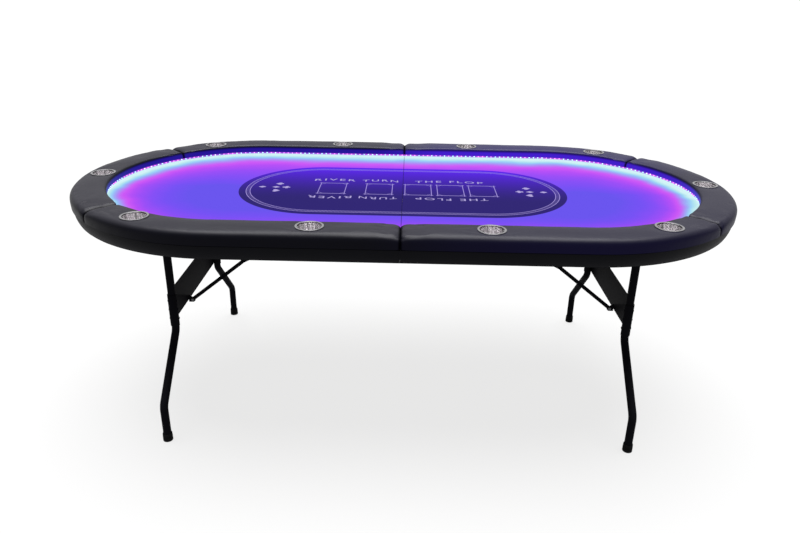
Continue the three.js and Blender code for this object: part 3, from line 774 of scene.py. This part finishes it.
def pad_mesh(half, part, side, seed):
    """A pad's surface along its stretch of the outline, and the places of its cups."""
    near_bend, far_bend = QUARTER, OUTLINE_LENGTH - QUARTER
    spans = {"front": (0.0, near_bend - PAD_GAP), "end": (near_bend + PAD_GAP, far_bend - PAD_GAP),
             "back": (far_bend + PAD_GAP, OUTLINE_LENGTH)}
    start, end = spans[part]
    profile = rail_profile()
    normals = profile_normals(profile)
    near = [PINCH_REACH * (t / 8) ** 1.6 for t in range(9)]
    stops = [start + d for d in near]
    stops += even_stops(start + near[-1], end - near[-1], PAD_STEP)[1:-1]
    stops += [end - d for d in reversed(near)]
    cups = [centre(f"{half}_cup_holder_{place}") for place in CUPS_OF[part]]
    travel = travelled(profile)
    bm = bmesh.new()
    softness = bm.verts.layers.float.new("softness")
    rows = []
    for s in stops:
        at, inward = outline(s, side)
        end_distance = min(s - start, end - s)
        row = []
        for (inset, height, soft), (nx, nz), along in zip(profile, normals, travel):
            shift = (ripple(s, along, end_distance, seed) - pinch(end_distance)) * soft
            point = at + inward * (inset + nx * shift) + Vector((0, 0, height + nz * shift))
            if height > RAIL_TOP - 1 * MM and soft > 0.5:
                seat = RAIL_TOP - 0.5 * MM
                point.z += (seat - point.z) * cup_dip(point, cups)
            vert = bm.verts.new(point)
            vert[softness] = soft
            row.append(vert)
        rows.append(row)
    grid_faces(bm, rows)
    return from_bmesh(f"{half}_rail_pad_{part}_padded", bm, "rail_vinyl", 60.0), cups


CUPS_OF = {"front": ("front_side", "front_corner"), "end": ("end",), "back": ("back_corner", "back_side")}
CLOTH_FRAMES = 14
SWELL_CAP = 2.2 * MM


def inflate(piece, cups):
    """Lets the vinyl settle over the foam under a light pressure, held at its edges and cups."""
    mesh = piece.data
    rest = [vertex.co.copy() for vertex in mesh.vertices]
    softness = [value.value for value in mesh.attributes["softness"].data]
    held = piece.vertex_groups.new(name="held")
    for vertex, soft in zip(mesh.vertices, softness):
        grip = 1.0 - 0.9 * soft
        if any(math.hypot(vertex.co.x - cup.x, vertex.co.y - cup.y) < CUP_GRIP for cup in cups):
            grip = 1.0
        held.add([vertex.index], grip, "REPLACE")
    cloth = piece.modifiers.new("settle", "CLOTH")
    stiffness = {"tension_stiffness": 25, "compression_stiffness": 25, "shear_stiffness": 8,
                 "bending_stiffness": 2}
    pressure = {"use_pressure": True, "uniform_pressure_force": 4}
    hold = {"quality": 4, "mass": 0.4, "vertex_group_mass": "held", "pin_stiffness": 2}
    for key, value in {**stiffness, **pressure, **hold}.items():
        setattr(cloth.settings, key, value)
    cloth.settings.effector_weights.gravity = 0
    cloth.collision_settings.use_collision = False
    scene = bpy.context.scene
    scene.frame_start, scene.frame_end = 1, CLOTH_FRAMES
    for step in range(1, CLOTH_FRAMES + 1):
        scene.frame_set(step)
    applied(piece)
    for vertex, start in zip(piece.data.vertices, rest):
        moved = vertex.co - start
        if moved.length > SWELL_CAP:
            vertex.co = start + moved.normalized() * SWELL_CAP
    scene.frame_set(1)


def bore_cups(piece, cups):
    """Cuts the holes that the cup holders drop into."""
    for cup in cups:
        bm = bmesh.new()
        bmesh.ops.create_cone(bm, cap_ends=True, segments=72, depth=0.2, matrix=Matrix.Translation(cup),
                              radius1=CUP_HOLE_RADIUS, radius2=CUP_HOLE_RADIUS)
        cutter = put("cutter", mesh_of("cutter", bm))
        hole = piece.modifiers.new("hole", "BOOLEAN")
        hole.operation = "DIFFERENCE"
        hole.solver = "EXACT"
        hole.object = cutter
        applied(piece)
        bpy.data.objects.remove(cutter)
    smooth(piece, 50.0)


def add_rail_pads():
    seed = 3.0
    for half, side in HALVES:
        for part in CUPS_OF:
            seed += 11.3
            piece, cups = pad_mesh(half, part, side, seed)
            inflate(piece, cups)
            bore_cups(piece, cups)
            piece.data.materials.clear()
            piece.data.materials.append(MATERIALS["rail_vinyl"])
            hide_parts(f"{half}_rail_pad_{part}")
            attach(piece, f"{half}_half")


# ---- apron, light strip and cups ----
def apron_profile():
    """Closed section of the apron: a slightly bowed face that curls under at its foot."""
    points = []
    for k in range(13):
        t = k / 12
        inset = 5.5 * MM + 9 * MM * t ** 2.2
        points.append((inset, APRON_TOP - 0.8 * MM - (APRON_TOP - APRON_BOTTOM - 5 * MM) * t))
    for angle in arc(math.pi / 2, 5):
        height = APRON_BOTTOM + 4.2 * MM - 4.0 * MM * (1 - math.cos(angle))
        points.append((14.5 * MM + 4 * MM * math.sin(angle), height))
    return points + [(23.8 * MM, APRON_BOTTOM + 0.2 * MM), (23.8 * MM, APRON_TOP), (7 * MM, APRON_TOP)]


def add_aprons():
    overrun = 0.22 * MM
    for half, side in HALVES:
        stops = even_stops(-overrun, OUTLINE_LENGTH + overrun, 9 * MM)
        piece = sweep(f"{half}_apron_wrapped", ring_rows(apron_profile(), stops, side), "apron_vinyl", 35.0)
        hand_over(piece, f"{half}_half", f"{half}_apron")


def add_light_strips():
    low, high = CLOTH_TOP + 0.3 * MM, STRIP_BOX[1][2]
    back, face = 99.6 * MM, 101.1 * MM
    bulge, corner = 0.3 * MM, 0.8 * MM
    profile = [(back, low), (face, low), (face + bulge, low + corner), (face + bulge, high - corner),
               (face, high), (back, high)]
    for half, side in HALVES:
        stops = even_stops(0.0, OUTLINE_LENGTH, 10 * MM)
        piece = sweep(f"{half}_light_strip_film", ring_rows(profile, stops, side), "strip_film", 35.0)
        hand_over(piece, f"{half}_half", f"{half}_light_strip")


def cup_profile(low, top):
    """Section of a drawn cup with a rolled rim, from the outer floor round to the inner floor."""
    body, rim, wall, foot = 33 * MM, 40 * MM, 0.9 * MM, 31.5 * MM
    points = [(0.0, low), (foot - 4 * MM, low)]
    points += [(foot - 4 * MM + 4 * MM * math.sin(a), low + 4 * MM * (1 - math.cos(a)))
               for a in arc(math.pi / 2, 6)]
    points += [(body, top - 1.2 * MM), (rim - 1.0 * MM, top - 1.3 * MM)]
    points += [(rim - 1.1 * MM + 1.1 * MM * math.sin(a), top - 0.65 * MM - 0.65 * MM * math.cos(a))
               for a in arc(math.pi, 8)]
    shoulder = body - wall + 2.2 * MM
    points += [(shoulder, top - 0.1 * MM)]
    points += [(shoulder - 2.2 * MM * math.sin(a), top - 2.3 * MM + 2.2 * MM * math.cos(a))
               for a in arc(math.pi / 2, 6)]
    inner_foot = foot - wall
    points += [(inner_foot + (body - foot) * t, low + 4 * MM + (top - 3 * MM - low - 4 * MM) * t)
               for t in (0.66, 0.33, 0.0)]
    points += [(inner_foot - 3.2 * MM * (1 - math.cos(a)), low + 4 * MM - 3.1 * MM * math.sin(a))
               for a in arc(math.pi / 2, 6)]
    points += [(12 * MM, low + wall + 0.25 * MM), (0.0, low + wall + 0.25 * MM)]
    return points


def add_cup_holders():
    for half, _ in HALVES:
        for place in (place for places in CUPS_OF.values() for place in places):
            node = f"{half}_cup_holder_{place}"
            low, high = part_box(node)
            profile = cup_profile(low[2], high[2])
            piece = lathe(node + "_drawn", profile, centre(node), "drawn_steel", 72, 50.0, "wall")
            hand_over(piece, f"{half}_half", node)


# ---- leg frames ----
TUBE_RADIUS = 12.5 * MM
LEG_BEND = 38 * MM
SPLAY_TOP = 0.300
SPLAY_BOTTOM = 0.125
RIVET_HEIGHTS = (0.371, 0.340, 0.402)


def add_leg_tubes():
    for half, _ in HALVES:
        for place, way in ENDS:
            node = f"{half}_leg_tube_{place}"
            low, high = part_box(node)
            x = (low[0] + high[0]) / 2
            near = min(abs(low[1]), abs(high[1])) + TUBE_RADIUS
            far = max(abs(low[1]), abs(high[1])) - TUBE_RADIUS
            corners = [(x, way * near, high[2]), (x, way * near, SPLAY_TOP), (x, way * far, SPLAY_BOTTOM),
                       (x, way * far, low[2])]
            rows = tube_rows(bent_path(corners, LEG_BEND), TUBE_RADIUS, 28)
            piece = sweep(node + "_bent", rows, "powder_coat")
            hand_over(piece, f"{half}_leg_frame", node)


def add_foot_caps():
    for half, _ in HALVES:
        for place, _ in ENDS:
            node = f"{half}_foot_cap_{place}"
            low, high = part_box(node)
            radius = (high[0] - low[0]) / 2
            profile = [(0.0, 1 * MM), (8 * MM, 0.8 * MM), (11 * MM, 0.0), (radius - 2 * MM, 0.0),
                       (radius - 0.6 * MM, 0.6 * MM), (radius, 2 * MM)]
            for groove in (7 * MM, 11 * MM, 15 * MM):
                profile += [(radius - 0.2 * MM, groove - 0.9 * MM), (radius - 1.1 * MM, groove),
                            (radius - 0.25 * MM, groove + 0.9 * MM)]
            profile += [(radius - 0.8 * MM, high[2] - 1.2 * MM), (radius - 1.4 * MM, high[2] - 0.3 * MM),
                        (TUBE_RADIUS + 1 * MM, high[2]), (TUBE_RADIUS + 0.2 * MM, high[2] - 0.5 * MM),
                        (TUBE_RADIUS + 0.2 * MM, 5 * MM), (0.0, 5 * MM)]
            piece = lathe(node + "_moulded", profile, centre(node), "foot_rubber", 40, 35.0)
            hand_over(piece, f"{half}_leg_frame", node)


def add_pivot_rods():
    for half, _ in HALVES:
        node = f"{half}_leg_pivot_rod"
        low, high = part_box(node)
        radius = (high[2] - low[2]) / 2
        middle = centre(node)
        reach = (high[1] - low[1]) / 2
        steps = [(-reach, 0.86), (-reach + 1 * MM, 0.97), (-reach + 2.2 * MM, 1.0), (reach - 2.2 * MM, 1.0),
                 (reach - 1 * MM, 0.97), (reach, 0.86)]
        rows = []
        for y, share in steps:
            rows += tube_rows([(middle + Vector((0, y, 0)), Vector((0, 1, 0)))], radius * share, 28)
        piece = sweep(node + "_turned", rows, "powder_coat")
        hand_over(piece, f"{half}_leg_frame", node)


def add_refined_parts():
    """Pressed and cut metal parts keep their shape and get softened edges."""
    for half, _ in HALVES:
        legs, top = f"{half}_leg_frame", f"{half}_half"
        for part, body, material in (
                ("leg_cross_plate", legs, "powder_coat"), ("brace_pin", legs, "zinc_steel"),
                ("leg_bracket_front", top, "powder_coat"), ("leg_bracket_back", top, "powder_coat"),
                ("brace_bracket", top, "powder_coat"),
                ("brace_lower_link", f"{half}_brace_lower", "powder_coat"),
                ("brace_upper_link", f"{half}_brace_upper", "powder_coat"),
                ("fold_leaf_front", top, "zinc_steel"), ("fold_leaf_back", top, "zinc_steel")):
            refined(f"{half}_{part}", material, body)
    for place, _ in ENDS:
        refined(f"fold_pin_{place}", "zinc_steel", "left_half", 0.3 * MM)
    refined("light_controller", "black_plastic", "right_half", 1.2 * MM)


def dress_frame_nodes():
    """Boards and cloth keep their frame shape and take their finish."""
    finish_of = {"deck_board": "plywood", "rail_board": "painted_board", "seam_joist": "plywood",
                 "play_cloth": "speed_cloth"}
    for half, _ in HALVES:
        for part, material in finish_of.items():
            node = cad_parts[f"{half}_{part}"]
            node.data.materials.clear()
            node.data.materials.append(MATERIALS[material])


# ---- print on the cloth ----
PRINT_LIFT = 0.15 * MM


def flat_print(name, outlines):
    """Thin printed shapes from closed outlines of (x, y) points, a hair above the cloth."""
    bm = bmesh.new()
    for points in outlines:
        face = bm.faces.new([bm.verts.new((x, y, CLOTH_TOP + PRINT_LIFT)) for x, y in points])
        area = sum(x0 * y1 - x1 * y0 for (x0, y0), (x1, y1) in zip(points, points[1:] + points[:1]))
        if face.normal.z < 0 or area < 0:
            face.normal_flip()
    bmesh.ops.triangulate(bm, faces=bm.faces)
    return new_object(name, mesh_of(name, bm), "printed_ink")


def heart(size):
    points = []
    for t in arc(2 * math.pi, 28, 0)[:-1]:
        x = 16 * math.sin(t) ** 3
        y = 13 * math.cos(t) - 5 * math.cos(2 * t) - 2 * math.cos(3 * t) - math.cos(4 * t)
        points.append((x * size / 32, y * size / 32))
    return [points]


def diamond(size):
    return [[(0, size / 2), (size * 0.37, 0), (0, -size / 2), (-size * 0.37, 0)]]


def stem(size):
    return [(-size * 0.04, -size * 0.05), (size * 0.04, -size * 0.05),
            (size * 0.17, -size / 2), (-size * 0.17, -size / 2)]


def spade(size):
    return [[(x, -y + size * 0.03) for x, y in heart(size * 0.92)[0]], stem(size)]


def club(size):
    lobes = []
    radius = size * 0.215
    for x, y in ((0, size * 0.26), (-size * 0.25, -size * 0.08), (size * 0.25, -size * 0.08)):
        lobes.append([(x + radius * math.cos(a), y + radius * math.sin(a))
                      for a in arc(2 * math.pi, 18, 0)[:-1]])
    lobes.append([(-size * 0.12, -size * 0.16), (size * 0.12, -size * 0.16), (size * 0.12, size * 0.16),
                  (-size * 0.12, size * 0.16)])
    return lobes + [stem(size)]


def turned(outlines, at, angle):
    """The outlines turned by an angle and moved to a point."""
    c, s = math.cos(angle), math.sin(angle)
    return [[(at[0] + x * c - y * s, at[1] + x * s + y * c) for x, y in points] for points in outlines]


def add_suit_pips():
    """Four plain card suits near each end of the panel, facing that end."""
    size = 0.027
    for half, side in HALVES:
        turn = -side * math.pi / 2
        hub = Vector((side * 0.437, CARD_BOX_Y))
        outlines = []
        for shape, (dx, dy) in ((spade, (-0.016, 0.040)), (heart, (-0.016, -0.040)), (diamond, (-0.010, 0.0)),
                                (club, (-0.044, 0.0)), (diamond, (0.036, 0.0))):
            outlines += turned(shape(size), (hub.x + side * dx, hub.y + dy), turn)
        piece = flat_print(f"{half}_suit_pips", outlines)
        hand_over(piece, f"{half}_half")


# half, word, middle along the table, width
WORDS = (("left", "RIVER", -0.2365, 0.142), ("left", "TURN", -0.0795, 0.124),
         ("right", "THE FLOP", 0.1600, 0.236))
WORD_HEIGHT = 0.022
WORD_ARCH = 0.009
WORD_RISE = 0.084


def word_mesh(name, text, at, width, angle):
    """Plain lettering, fitted to a width and arched slightly, as flat mesh."""
    curve = bpy.data.curves.new(name, "FONT")
    curve.body = text
    curve.align_x = "CENTER"
    curve.offset = 0.008
    curve.space_character = 1.3
    letters = put(name, curve)
    bpy.context.view_layer.update()
    mesh = evaluated_mesh(letters)
    bpy.data.objects.remove(letters)
    xs = [v.co.x for v in mesh.vertices]
    ys = [v.co.y for v in mesh.vertices]
    scale_x = width / (max(xs) - min(xs))
    scale_y = WORD_HEIGHT / max(ys)
    middle = (max(xs) + min(xs)) / 2
    c, s = math.cos(angle), math.sin(angle)
    for v in mesh.vertices:
        x = (v.co.x - middle) * scale_x
        y = v.co.y * scale_y + WORD_ARCH * (1 - (x / (width / 2)) ** 2)
        v.co = (at[0] + x * c - y * s, at[1] + x * s + y * c, CLOTH_TOP + PRINT_LIFT)
    for polygon in mesh.polygons:
        if polygon.normal.z < 0:
            polygon.flip()
    return mesh


def add_words():
    for half, text, x, width in WORDS:
        for row, rise, angle in (("upper", WORD_RISE, 0.0), ("lower", -WORD_RISE, math.pi)):
            name = f"{text.lower().replace(' ', '_')}_{row}_print"
            mesh = word_mesh(name, text, (x, CARD_BOX_Y + rise), width, angle)
            hand_over(new_object(name, mesh, "printed_ink"), f"{half}_half")


# ---- repeated pieces by geometry nodes ----
def path_object(name, points):
    """A poly curve for a geometry tree to follow."""
    curve = bpy.data.curves.new(name, "CURVE")
    curve.dimensions = "3D"
    spline = curve.splines.new("POLY")
    spline.points.add(len(points) - 1)
    for point, at in zip(spline.points, points):
        point.co = (*at, 1)
    return put(name, curve)


def open_tree(name, inputs):
    """A geometry tree with the given extra inputs, and the keys that a modifier knows them by."""
    tree = bpy.data.node_groups.new(name, "GeometryNodeTree")
    tree.interface.new_socket("Geometry", in_out="INPUT", socket_type="NodeSocketGeometry")
    keys = {key: tree.interface.new_socket(key, in_out="INPUT", socket_type=kind).identifier
            for key, kind in inputs.items()}
    tree.interface.new_socket("Geometry", in_out="OUTPUT", socket_type="NodeSocketGeometry")
    return tree, keys


def wire(tree, joints):
    """Joins nodes, each joint given as source, its output, target, its input."""
    for source, output, target, into in joints:
        tree.links.new(source.outputs[output], target.inputs[into])


def lamp_tree():
    """Small domed lamps at an even pitch along a curve, each with a hue of its own."""
    tree, keys = open_tree("lamps_along_strip", {"Pitch": "NodeSocketFloat", "Radius": "NodeSocketFloat",
                                                 "Material": "NodeSocketMaterial", "Seed": "NodeSocketInt"})
    node = tree.nodes.new
    start, end = node("NodeGroupInput"), node("NodeGroupOutput")
    points = node("GeometryNodeCurveToPoints")
    points.mode = "LENGTH"
    dome = node("GeometryNodeMeshUVSphere")
    dome.inputs["Segments"].default_value = 8
    dome.inputs["Rings"].default_value = 5
    flatten = node("GeometryNodeTransform")
    flatten.inputs["Scale"].default_value = (1.0, 1.0, 0.55)
    place, hue = node("GeometryNodeInstanceOnPoints"), node("FunctionNodeRandomValue")
    store = node("GeometryNodeStoreNamedAttribute")
    store.domain = "INSTANCE"
    store.inputs["Name"].default_value = "hue"
    realize, paint = node("GeometryNodeRealizeInstances"), node("GeometryNodeSetMaterial")
    wire(tree, (
        (start, "Geometry", points, "Curve"), (start, "Pitch", points, "Length"),
        (start, "Radius", dome, "Radius"), (dome, "Mesh", flatten, "Geometry"),
        (points, "Points", place, "Points"), (flatten, "Geometry", place, "Instance"),
        (start, "Seed", hue, "Seed"), (place, "Instances", store, "Geometry"), (hue, 1, store, "Value"),
        (store, "Geometry", realize, "Geometry"), (realize, "Geometry", paint, "Geometry"),
        (start, "Material", paint, "Material"),
        (paint, "Geometry", end, "Geometry"),
    ))
    return tree, keys


def grown(name, holder, tree, keys, values):
    """Runs a geometry tree on a holder and returns the result as a plain piece."""
    growth = holder.modifiers.new("growth", "NODES")
    growth.node_group = tree
    for key, value in values.items():
        growth[keys[key]] = value
    bpy.context.view_layer.update()
    mesh = evaluated_mesh(holder)
    bpy.data.objects.remove(holder)
    mesh.shade_smooth()
    return put(name, mesh)


def add_lamps():
    tree, keys = lamp_tree()
    step = 8 * MM
    for half, side in HALVES:
        points = []
        for s in even_stops(step, OUTLINE_LENGTH - step, step):
            at, inward = outline(s, side)
            points.append(at + inward * LAMP_INSET + Vector((0, 0, LAMP_Z)))
        values = {"Pitch": 0.0167, "Radius": 0.0026, "Material": MATERIALS["lamp_lens"], "Seed": 5 + side}
        piece = grown(f"{half}_lamps", path_object("lamp_path", points), tree, keys, values)
        hand_over(piece, f"{half}_half")


def head_tree():
    """A fastener's head set on every point of a curve, with the head's axis along Z."""
    tree, keys = open_tree("heads_on_points", {"Radius": "NodeSocketFloat", "Height": "NodeSocketFloat",
                                               "Tilt": "NodeSocketFloat", "Material": "NodeSocketMaterial"})
    node = tree.nodes.new
    start, end = node("NodeGroupInput"), node("NodeGroupOutput")
    points = node("GeometryNodeCurveToPoints")
    points.mode = "EVALUATED"
    dome = node("GeometryNodeMeshUVSphere")
    dome.inputs["Segments"].default_value = 14
    dome.inputs["Rings"].default_value = 8
    dome.inputs["Radius"].default_value = 1.0
    size, tilt = node("ShaderNodeCombineXYZ"), node("ShaderNodeCombineXYZ")
    shape, lean = node("GeometryNodeTransform"), node("GeometryNodeTransform")
    place = node("GeometryNodeInstanceOnPoints")
    realize, paint = node("GeometryNodeRealizeInstances"), node("GeometryNodeSetMaterial")
    wire(tree, (
        (start, "Radius", size, "X"), (start, "Radius", size, "Y"), (start, "Height", size, "Z"),
        (start, "Tilt", tilt, "Y"), (dome, "Mesh", shape, "Geometry"), (size, 0, shape, "Scale"),
        (shape, "Geometry", lean, "Geometry"), (tilt, 0, lean, "Rotation"),
        (start, "Geometry", points, "Curve"), (points, "Points", place, "Points"),
        (lean, "Geometry", place, "Instance"),
        (place, "Instances", realize, "Geometry"), (realize, "Geometry", paint, "Geometry"),
        (start, "Material", paint, "Material"), (paint, "Geometry", end, "Geometry"),
    ))
    return tree, keys


def underside_screws(half, side):
    """Places of the screws that hold brackets and hinge leaves."""
    points = []
    for place, _ in ENDS:
        low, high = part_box(f"{half}_leg_bracket_{place}")
        y = (low[1] + high[1]) / 2
        points += [(x, y, high[2] - 3 * MM) for x in (low[0] + 10 * MM, high[0] - 10 * MM)]
        low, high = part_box(f"{half}_fold_leaf_{place}")
        far = max(abs(low[0]), abs(high[0]))
        middle = (low[1] + high[1]) / 2
        leaf_bottom = APRON_BOTTOM - 2.9 * MM
        points += [(side * (far - dx), middle + dy, leaf_bottom)
                   for dx in (9 * MM, 24 * MM) for dy in (-28 * MM, 28 * MM)]
    low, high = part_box(f"{half}_brace_bracket")
    y = high[1] - 8 * MM
    points += [(x, y, high[2] - 3 * MM) for x in (low[0] + 9 * MM, high[0] - 9 * MM)]
    return points


def add_fasteners():
    tree, keys = head_tree()
    for half, side in HALVES:
        values = {"Radius": 0.0038, "Height": 0.0016, "Tilt": 0.0, "Material": MATERIALS["zinc_steel"]}
        screws = grown(f"{half}_underside_screws", path_object("screw_places", underside_screws(half, side)),
                       tree, keys, values)
        hand_over(screws, f"{half}_half")
        low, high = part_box(f"{half}_leg_cross_plate")
        outer = high[0] if side > 0 else low[0]
        inner = low[0] if side > 0 else high[0]
        reach = (high[1] - low[1]) / 2 - 15 * MM
        rivets = [(x, y, z) for x in (outer, inner) for y in (-reach, reach) for z in RIVET_HEIGHTS]
        values = {"Radius": 0.0042, "Height": 0.0015, "Tilt": math.pi / 2,
                  "Material": MATERIALS["powder_coat"]}
        piece = grown(f"{half}_plate_rivets", path_object("rivet_places", rivets), tree, keys, values)
        hand_over(piece, f"{half}_leg_frame")


# ---- room, light and camera ----
CAMERA_AT = Vector((0.0187, -2.2327, 1.3764))
CAMERA_YAW = -0.0105
CAMERA_PITCH = 0.4017
CAMERA_ROLL = 0.0173
FOCAL_SHARE = 689.09 / 800
SENSOR = 36.0


def add_camera():
    data = bpy.data.cameras.new("camera")
    data.sensor_width = SENSOR
    data.lens = FOCAL_SHARE * SENSOR
    data.clip_end = 200
    camera = put("camera", data)
    sy, cy = math.sin(CAMERA_YAW), math.cos(CAMERA_YAW)
    sp, cp = math.sin(CAMERA_PITCH), math.cos(CAMERA_PITCH)
    ahead = Vector((sy * cp, cy * cp, -sp))
    right = Vector((cy, -sy, 0))
    up = right.cross(ahead)
    sr, cr = math.sin(CAMERA_ROLL), math.cos(CAMERA_ROLL)
    right, up = right * cr + up * sr, up * cr - right * sr
    camera.matrix_world = Matrix((
        (right.x, up.x, -ahead.x, CAMERA_AT.x),
        (right.y, up.y, -ahead.y, CAMERA_AT.y),
        (right.z, up.z, -ahead.z, CAMERA_AT.z),
        (0, 0, 0, 1),
    ))
    bpy.context.scene.camera = camera


def add_room():
    bm = bmesh.new()
    bmesh.ops.create_grid(bm, x_segments=1, y_segments=1, size=70)
    floor = put("floor", mesh_of("floor", bm))
    floor.location.z = -0.0005
    tree = Tree("pale_floor")
    floor.data.materials.append(tree.finish(Base_Color=(0.040, 0.040, 0.040), Roughness=0.9, IOR=1.03,
                                            Emission_Color=(1, 1, 1), Emission_Strength=0.78))
    world = bpy.data.worlds.new("studio")
    world.use_nodes = True
    world.node_tree.nodes["Background"].inputs["Color"].default_value = (1, 1, 1, 1)
    world.node_tree.nodes["Background"].inputs["Strength"].default_value = 0.8
    bpy.context.scene.world = world
    data = bpy.data.lights.new("overhead", "SUN")
    data.energy = 6 * math.pi
    data.angle = math.radians(55)
    overhead = put("overhead", data)
    overhead.rotation_euler = (math.radians(-9), 0, 0)
    view = bpy.context.scene.view_settings
    view.view_transform = "Standard"
    view.look = "None"


for build in (add_camera, add_room, dress_frame_nodes, add_rail_pads, add_aprons, add_light_strips, add_lamps,
              add_cup_holders, add_leg_tubes, add_foot_caps, add_pivot_rods, add_refined_parts, add_fasteners,
              add_suit_pips, add_words):
    build()
